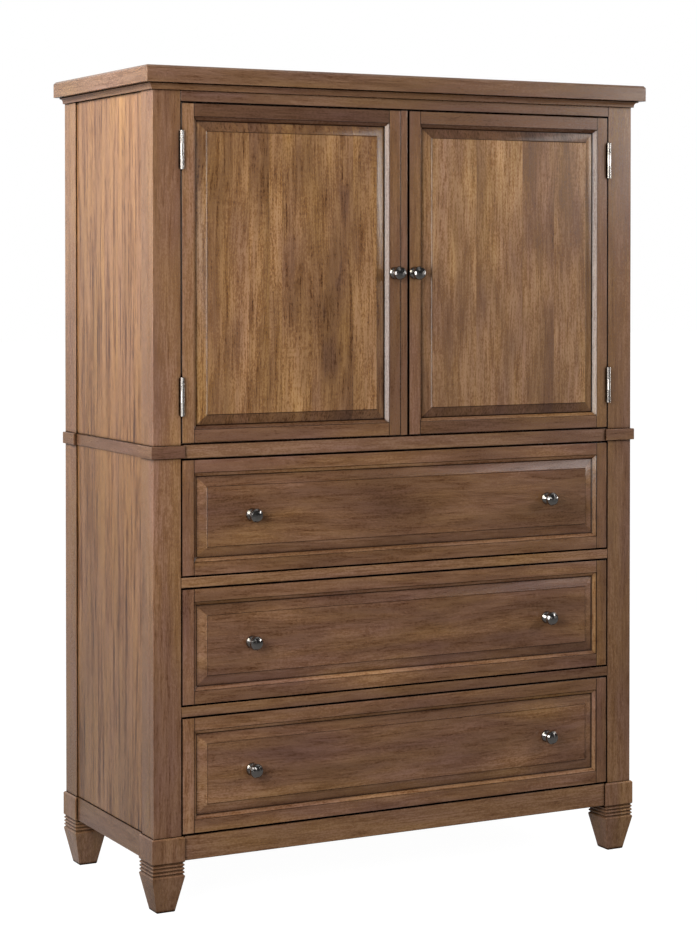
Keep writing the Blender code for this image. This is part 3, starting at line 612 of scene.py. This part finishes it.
# What sets single pieces apart: glued boards as (axis, joints), knots and smears, growth rings, mitres, tints
DETAIL = {
    "side_panel_left": {"joints": ("Y", [(-0.108, -0.05), (-0.035, 0.10), (0.030, -0.08), (0.105, 0.04)]),
                        "marks": [((-0.513, -0.058, 1.376), (0.01, 0.004, 0.010), -0.7),
                                  ((-0.513, 0.091, 0.635), (0.01, 0.005, 0.008), -0.9)]},
    "side_panel_right": {"joints": ("Y", [(-0.10, 0.06), (-0.02, -0.08), (0.06, 0.05), (0.12, -0.04)])},
    "back_panel": {"joints": ("X", [(-0.36, 0.08), (-0.2, -0.1), (-0.06, 0.08), (0.09, -0.06), (0.24, 0.09),
                                    (0.37, -0.08)])},
    "door_left_panel": {"crisp": 1.3, "tint": (0.975, 1.01, 0.91), "rings": (-0.21, 60.0, 2.2, 0.22),
                        "joints": ("X", [(-0.325, -0.14), (-0.284, 0.34), (-0.258, -0.22), (-0.110, 0.24)]),
                        "marks": [((-0.130, -0.2, 1.285), (0.015, 0.05, 0.055), -0.75),
                                  ((-0.136, -0.2, 1.150), (0.011, 0.05, 0.055), -0.75),
                                  ((-0.173, -0.2, 1.080), (0.008, 0.05, 0.018), -0.60),
                                  ((-0.160, -0.2, 0.995), (0.024, 0.05, 0.055), -0.85),
                                  ((-0.190, -0.2, 0.930), (0.018, 0.05, 0.050), -0.55),
                                  ((-0.245, -0.2, 1.180), (0.014, 0.05, 0.060), -0.45),
                                  ((-0.355, -0.2, 1.030), (0.030, 0.05, 0.090), -0.45)]},
    "door_right_panel": {"tint": (0.95, 1.02, 1.04), "rings": (0.27, 50.0, -2.0, 0.22),
                         "joints": ("X", [(0.158, 0.20), (0.262, -0.10), (0.335, 0.08)]),
                         "marks": [((0.102, -0.2, 1.350), (0.0022, 0.05, 0.007), -1.0),
                                   ((0.087, -0.2, 1.283), (0.0022, 0.05, 0.006), -1.0),
                                   ((0.285, -0.2, 1.3495), (0.0022, 0.05, 0.007), -1.0),
                                   ((0.296, -0.2, 1.2816), (0.0022, 0.05, 0.006), -1.0)]},
    "cornice_moulding": {"mitre": returns}, "top_slab": {"mitre": returns},
    "waist_band_left": {"mitre": returns}, "waist_band_right": {"mitre": returns},
}


def painted_shade_at_openings(low, high):
    """Painted shade as dark edges of a front piece where it borders an opening: along its top and foot, or
    its inner side.
    """
    def edges(g, point):
        x, _, z = g.split(point)
        if high.x - low.x > HALF_OPENING:
            away = g.least(*(g.math("ABSOLUTE", g.minus(z, edge)) for edge in (low.z, high.z)))
        else:
            away = g.math("ABSOLUTE", g.minus(g.math("ABSOLUTE", x), HALF_OPENING))
        return g.span(away, *EDGE_LINE, 1.0, 0.0)

    return edges


def rail_ends(low, high):
    """A thin line at each end of a door's rail, where its stile begins."""
    def end_lines(g, point):
        x, _, _ = g.split(point)
        from_end = g.least(g.minus(x, low.x), g.minus(high.x, x))
        return line_at(g, from_end, RAIL_END_PLACE, *RAIL_END_LINE)

    return end_lines


def drawer_parts(low, high):
    """A drawer front's upright stiles, with rails and panel along X between them, and their joint lines."""
    middle, half_height = (low.z + high.z) / 2, (high.z - low.z) / 2

    def insets(g, point):
        x, _, z = g.split(point)
        from_end = g.minus(DRAWER_HALF_WIDTH, g.math("ABSOLUTE", x))
        from_edge = g.minus(half_height, g.math("ABSOLUTE", g.minus(z, middle)))
        return from_end, from_edge

    def stiles(g, point):
        from_end, from_edge = insets(g, point)
        flat = g.math("LESS_THAN", from_end, FRAME_FLAT)
        beside = g.math("LESS_THAN", from_end, from_edge)
        sticking = g.times(g.math("LESS_THAN", from_end, FRAME_WIDTH), beside)
        return g.math("MAXIMUM", flat, sticking), "Z"

    def joint_lines(g, point):
        from_end, _ = insets(g, point)
        return line_at(g, from_end, FRAME_FLAT, *EDGE_LINE)

    return stiles, joint_lines


def dovetails(low, high):
    """Thin dark lines of the tails where a drawer's sides meet its front and its back."""
    pitch = (high.z - low.z) / TAIL_COUNT

    def tail_lines(g, point):
        _, y, z = g.split(point)
        from_end = g.least(g.minus(y, low.y), g.minus(high.y, y))
        share = g.math("FRACT", g.times(g.minus(z, low.z), 1.0 / pitch))
        from_middle = g.math("ABSOLUTE", g.minus(share, 0.5))
        flank = g.add(TAIL_HALF_WIDTH, g.times(from_end, TAIL_FLARE))
        along = line_at(g, from_middle, flank, *TAIL_SIDE_LINE)
        along = g.times(along, g.math("LESS_THAN", from_end, TAIL_LENGTH))
        foot = line_at(g, from_end, TAIL_LENGTH, *TAIL_FOOT_LINE)
        foot = g.times(foot, g.math("LESS_THAN", from_middle, flank))
        return g.math("MAXIMUM", along, foot)

    return tail_lines


# Painted shade as dark lines round the fronts, along the outer edge and in the creases of the moulding and
# the bevel, as (how far in, half width, strength)
FRAME_SHADE_LINES = ((0.0, 0.0014, 0.85), (FRAME_FLAT + 0.0003, 0.0009, 0.6), (FRAME_WIDTH - 0.0002, 0.0009, 0.7))
PANEL_SHADE_LINES = ((FRAME_WIDTH + 0.0006, 0.0013, 0.8), (BEVEL_END, 0.0010, 0.55))

# Painted light and shade on the moulding and on the panel's bevel, as the lamps fall on each side: on the
# left, right, bottom and top of a front
STICKING = (FRAME_FLAT, FRAME_WIDTH)
BEVELS = (FRAME_WIDTH, BEVEL_END)
PAINTED_LIGHT_RIMS = {
    "door_left": ((*BEVELS, 0.35, -0.6, -1.4, -0.75),),
    "door_right": ((*BEVELS, -0.25, -0.7, -1.65, -1.75),),
    "drawer_upper": ((*STICKING, -0.9, 0.8, 0.3, 1.2), (*BEVELS, 0.8, 0.7, 0.0, -0.2)),
    "drawer_middle": ((*STICKING, -0.15, 0.9, 0.4, 0.9), (*BEVELS, 0.9, 0.2, -0.1, -0.25)),
    "drawer_lower": ((*STICKING, 0.2, 0.9, 0.6, 1.4), (*BEVELS, 0.7, 0.1, 0.0, -0.15)),
}
# Painted light and shade on the doors' moulding, on the left, right, bottom and top
DOOR_STICKING_PAINTED_LIGHT = {
    "door_left": ((*STICKING, 0.0, 0.1, -0.8, 0.0),),
    "door_right": ((*STICKING, 0.0, 0.3, 0.7, -0.9),),
}

# How much smoother than the rest the moulding is, on each of its four sides
WORN_MOULDING = ((*STICKING, 0.45, 0.45, 0.45, 0.45),)

COOL_TINT = (0.97, 1.0, 1.09)
DRAWER_TINT = (0.97, 1.0, 1.06)
DRAWER_RING_CURVES = {"lower": 360.0, "middle": 300.0, "upper": 330.0}

for node in ("top_rail", "waist_rail", "dust_panel_upper", "dust_panel_middle", "front_apron",
             "front_post_left", "front_post_right"):
    DETAIL[node] = {"lines": painted_shade_at_openings(*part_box(node))}
for side in SIDES:
    body = f"door_{side}"
    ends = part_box(f"{body}_stile_outer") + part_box(f"{body}_stile_inner")
    low = Vector((max(min(end.x for end in ends), -DOOR_REACH), 0.0, ends[0].z))
    high = Vector((min(max(end.x for end in ends), DOOR_REACH), 0.0, ends[1].z))
    if side == "left":
        high.x = -DOOR_MEETING
    DETAIL[f"{body}_panel"].update(rim=(low, high, PAINTED_LIGHT_RIMS[body]), rim_line=(low, high, PANEL_SHADE_LINES))
    for member in ("stile_outer", "stile_inner", "rail_top", "rail_bottom"):
        DETAIL[f"{body}_{member}"] = {
            "rim": (low, high, DOOR_STICKING_PAINTED_LIGHT[body]), "rim_line": (low, high, FRAME_SHADE_LINES),
            "polish": (low, high, WORN_MOULDING),
        }
    for member in ("rail_top", "rail_bottom"):
        DETAIL[f"{body}_{member}"]["lines"] = rail_ends(low, high)
for level in LEVELS:
    low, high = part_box(f"drawer_{level}_front")
    stiles, joint_lines = drawer_parts(low, high)
    DETAIL[f"drawer_{level}_front"] = {
        "mitre": stiles, "tint": DRAWER_TINT, "lines": joint_lines,
        "rim": (low, high, PAINTED_LIGHT_RIMS[f"drawer_{level}"]), "rim_line": (low, high, FRAME_SHADE_LINES + PANEL_SHADE_LINES),
        "polish": (low, high, WORN_MOULDING),
        "rings": (FRONT_Y + (low.z + high.z) / 2, DRAWER_RING_CURVES[level], 3.0, 0.16),
    }
    DETAIL[f"drawer_{level}_walls"] = {"lines": dovetails(*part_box(f"drawer_{level}_walls"))}
for node in ("top_slab", "top_rail", "waist_rail", "door_right_rail_top"):
    DETAIL[node]["tint"] = COOL_TINT

for number, (node, (look_name, axis)) in enumerate(sorted(GRAIN.items())):
    detail = DETAIL.get(node, {})
    dress(node, wood(f"wood_{node}", look_name, axis, 1.0 + number, shift=STAIN_AND_SHADE_SHIFTS.get(node, 0.0), **detail))
    soften(node)

DARK_NICKEL = metal("dark_nickel", (0.32, 0.300, 0.284), 0.13)
POLISHED_NICKEL = metal("polished_nickel", (0.40, 0.370, 0.345), 0.25)
# Near-black metal of those bars: painted shade in the screw recesses
SCREW_SLOT_SHADE = metal("screw_slot_shade_metal", (0.02, 0.02, 0.02), 0.5)
for node in NODES:
    if "knob" in node:
        dress(node, DARK_NICKEL)
    elif "leaf" in node:
        dress(node, POLISHED_NICKEL)


def screw_head(bm, place, outward, radius):
    """A low round head on a face that looks along outward, and two thin near-black bars on it as painted
    shade of its recess.
    """
    turn = Vector(outward).to_track_quat("Z", "Y").to_matrix().to_4x4()
    spot = Matrix.Translation(Vector(place)) @ turn
    lifted = spot @ Matrix.Translation((0.0, 0.0, SCREW_RISE / 2 - SCREW_SEAT))
    bmesh.ops.create_cone(bm, cap_ends=True, segments=SCREW_SIDES, radius1=radius,
                          radius2=radius * SCREW_TAPER, depth=SCREW_RISE, matrix=lifted)
    top = spot @ Matrix.Translation((0.0, 0.0, SCREW_RISE - SCREW_SEAT))
    for width, height in SLOT_SHADE_BARS:
        size = Matrix.Diagonal((radius * width, radius * height, SLOT_SHADE_HEIGHT, 1.0))
        bar = bmesh.ops.create_cube(bm, size=1.0, matrix=top @ size)
        for vertex in bar["verts"]:
            for face in vertex.link_faces:
                face.material_index = 1


def screws(body, places):
    """All of one body's screws as one mesh that rides on the body; a place is (place, outward, radius)."""
    bm = bmesh.new()
    for place, outward, radius in places:
        screw_head(bm, place, outward, radius)
    mesh = bpy.data.meshes.new(f"screws_{body}")
    bm.to_mesh(mesh)
    bm.free()
    mesh.materials.append(POLISHED_NICKEL)
    mesh.materials.append(SCREW_SLOT_SHADE)
    thing = bpy.data.objects.new(f"screws_{body}", mesh)
    bpy.context.scene.collection.objects.link(thing)
    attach(thing, body)


def knob_screw(knob, board):
    """The screw that holds a knob, where its head shows on the back of the knob's board."""
    low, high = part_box(knob)
    middle = (low + high) / 2
    return (middle.x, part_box(board)[1].y, middle.z), (0.0, 1.0, 0.0), KNOB_SCREW


def hinge_screws(hinge, leaf, sign):
    """The three screws of one hinge leaf, on the side of the chest that sign points to."""
    low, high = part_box(f"{hinge}_{leaf}")
    facing = -sign if leaf == "case_leaf" else sign
    return [((LEAF_FACES[leaf] * sign, FRONT_Y + depth, low.z + share * (high.z - low.z)),
             (facing, 0.0, 0.0), LEAF_SCREW) for share, depth in LEAF_SCREW_PLACES]


def back_screws():
    """Rows of screws down both edges of the back panel."""
    low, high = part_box("back_panel")
    height = high.z - low.z - 2 * BACK_SCREW_FROM_END
    found = []
    for row in range(BACK_SCREW_ROWS):
        z = low.z + BACK_SCREW_FROM_END + height * row / (BACK_SCREW_ROWS - 1)
        for x in (low.x + BACK_SCREW_FROM_SIDE, high.x - BACK_SCREW_FROM_SIDE):
            found.append(((x, high.y, z), (0.0, 1.0, 0.0), BACK_SCREW))
    return found


CASE_SCREWS = []
for side, sign in (("left", -1.0), ("right", 1.0)):
    body = f"door_{side}"
    door_screws = []
    for level in ("upper", "lower"):
        CASE_SCREWS += hinge_screws(f"{body}_hinge_{level}", "case_leaf", sign)
        door_screws += hinge_screws(f"{body}_hinge_{level}", "door_leaf", sign)
    door_screws.append(knob_screw(f"{body}_knob", f"{body}_stile_inner"))
    screws(body, door_screws)
for level in LEVELS:
    body = f"drawer_{level}"
    screws(body, [knob_screw(f"{body}_knob_{side}", f"{body}_front") for side in SIDES])
screws("case", CASE_SCREWS + back_screws())


# Studio: how bright the white paper and the lit and dim parts of the room are
PAPER_FILL = 0.33
ROOM_GLOSS = (0.05, 0.95)
FLOOR_GLOSS = (0.10, 0.44)
FLOOR_GLOW = 0.975
FLOOR_COLOUR = (0.15, 0.15, 0.15, 1.0)
FLOOR_HALF_SIZE = 30.0
DIM_BEFORE, BRIGHT_BEHIND = -0.35, 0.25


def area_light(name, place, target, width, height, power, spread=180.0, colour=(1.0, 1.0, 1.0), gloss=True):
    data = bpy.data.lights.new(name, "AREA")
    data.shape = "RECTANGLE"
    data.size, data.size_y = width, height
    data.energy = power
    data.spread = math.radians(spread)
    data.color = colour
    lamp = bpy.data.objects.new(name, data)
    lamp.location = place
    lamp.rotation_mode = "QUATERNION"
    lamp.rotation_quaternion = (Vector(target) - Vector(place)).to_track_quat("-Z", "Y")
    lamp.visible_camera = False
    lamp.visible_glossy = gloss
    bpy.context.scene.collection.objects.link(lamp)


area_light("key_left", (-1.7, 0.0, 1.9), (-0.5, 0.0, 1.35), 1.2, 0.8, 7.5, spread=80.0,
           colour=(1.0, 0.965, 0.80))
area_light("window_left", (-1.9, -1.5, 1.2), (0.0, -0.2, 1.15), 0.9, 1.3, 34.0)
area_light("side_left", (-2.1, -0.45, 1.3), (0.0, -0.2, 1.2), 0.5, 0.8, 5.5)
area_light("strip_front", (-0.42, -2.6, 1.3), (-0.2, -0.2, 1.2), 0.35, 0.8, 3.5)
area_light("top", (-0.3, -1.4, 2.3), (-0.1, -0.2, 1.45), 1.4, 0.5, 0.3, spread=90.0)
area_light("right_front", (1.8, -1.6, 1.65), (0.2, -0.2, 1.4), 0.5, 0.6, 1.9, spread=80.0)
area_light("strip_right", (2.1, -1.5, 1.9), (0.2, -0.2, 1.3), 0.2, 1.1, 11.0, gloss=False)
area_light("side_right", (2.3, -0.4, 1.4), (0.2, -0.2, 1.1), 0.5, 1.2, 12.0)
area_light("low_right", (1.7, -1.9, 0.7), (0.1, -0.2, 0.7), 0.5, 0.9, 0.6)


def path_share(tree, *names):
    """1 for the named kinds of ray, 0 for the others."""
    path = tree.nodes.new("ShaderNodeLightPath")
    share = path.outputs[names[0]]
    for name in names[1:]:
        either = tree.nodes.new("ShaderNodeMath")
        either.operation = "MAXIMUM"
        tree.links.new(share, either.inputs[0])
        tree.links.new(path.outputs[name], either.inputs[1])
        share = either.outputs[0]
    return share


def background(tree, strength):
    made = tree.nodes.new("ShaderNodeBackground")
    made.inputs["Color"].default_value = (1.0, 1.0, 1.0, 1.0)
    made.inputs["Strength"].default_value = strength
    return made


def choice(tree, share, otherwise, chosen):
    made = tree.nodes.new("ShaderNodeMixShader")
    tree.links.new(share, made.inputs[0])
    tree.links.new(otherwise.outputs[0], made.inputs[1])
    tree.links.new(chosen.outputs[0], made.inputs[2])
    return made


def front_to_back(tree, vector, levels):
    """A level that rises from before the chest to behind it, along Y of a place or a direction."""
    split = tree.nodes.new("ShaderNodeSeparateXYZ")
    tree.links.new(vector, split.inputs[0])
    level = tree.nodes.new("ShaderNodeMapRange")
    level.interpolation_type = "SMOOTHSTEP"
    for value, socket in zip((DIM_BEFORE, BRIGHT_BEHIND, *levels), level.inputs[1:5]):
        socket.default_value = value
    tree.links.new(split.outputs["Y"], level.inputs["Value"])
    return level.outputs[0]


def studio_world():
    """White wherever the camera looks; gloss sees white paper behind the chest and a dim room before it."""
    world = bpy.data.worlds.new("studio")
    world.use_nodes = True
    tree = world.node_tree
    tree.nodes.clear()
    white, room, fill = background(tree, 1.0), background(tree, 1.0), background(tree, PAPER_FILL)
    direction = tree.nodes.new("ShaderNodeTexCoord").outputs["Generated"]
    tree.links.new(front_to_back(tree, direction, ROOM_GLOSS), room.inputs["Color"])
    seen_in_gloss = choice(tree, path_share(tree, "Is Glossy Ray"), fill, room)
    seen = choice(tree, path_share(tree, "Is Camera Ray", "Is Transmission Ray"), seen_in_gloss, white)
    output = tree.nodes.new("ShaderNodeOutputWorld")
    tree.links.new(seen.outputs[0], output.inputs[0])
    bpy.context.scene.world = world


def floor():
    """Pale paper under the chest: it glows white to the camera, and dims towards the front in gloss."""
    bm = bmesh.new()
    bmesh.ops.create_grid(bm, x_segments=1, y_segments=1, size=FLOOR_HALF_SIZE)
    mesh = bpy.data.meshes.new("floor")
    bm.to_mesh(mesh)
    bm.free()
    thing = bpy.data.objects.new("floor", mesh)
    bpy.context.scene.collection.objects.link(thing)
    material = bpy.data.materials.new("floor")
    material.use_nodes = True
    tree = material.node_tree
    tree.nodes.clear()
    lit = tree.nodes.new("ShaderNodeBsdfDiffuse")
    lit.inputs["Color"].default_value = FLOOR_COLOUR
    place = tree.nodes.new("ShaderNodeNewGeometry").outputs["Position"]
    dimmer = tree.nodes.new("ShaderNodeMapRange")
    dimmer.inputs["To Min"].default_value = FLOOR_GLOW
    tree.links.new(front_to_back(tree, place, FLOOR_GLOSS), dimmer.inputs["To Max"])
    tree.links.new(path_share(tree, "Is Glossy Ray"), dimmer.inputs["Value"])
    glow = tree.nodes.new("ShaderNodeEmission")
    tree.links.new(dimmer.outputs[0], glow.inputs["Strength"])
    pale = tree.nodes.new("ShaderNodeAddShader")
    tree.links.new(lit.outputs[0], pale.inputs[0])
    tree.links.new(glow.outputs[0], pale.inputs[1])
    seen = path_share(tree, "Is Camera Ray", "Is Glossy Ray", "Is Transmission Ray")
    output = tree.nodes.new("ShaderNodeOutputMaterial")
    tree.links.new(choice(tree, seen, lit, pale).outputs[0], output.inputs[0])
    mesh.materials.append(material)
    thing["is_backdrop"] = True


studio_world()
floor()

camera_data = bpy.data.cameras.new("camera")
camera_data.lens = CAMERA_LENS
camera_data.shift_y = CAMERA_SHIFT_Y
camera = bpy.data.objects.new("camera", camera_data)
camera.location = CAMERA_PLACE
camera.rotation_euler = (math.radians(90 + CAMERA_PITCH), 0.0, math.radians(-CAMERA_YAW))
bpy.context.scene.collection.objects.link(camera)
bpy.context.scene.camera = camera
bpy.context.scene.view_settings.view_transform = "Standard"

low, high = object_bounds()
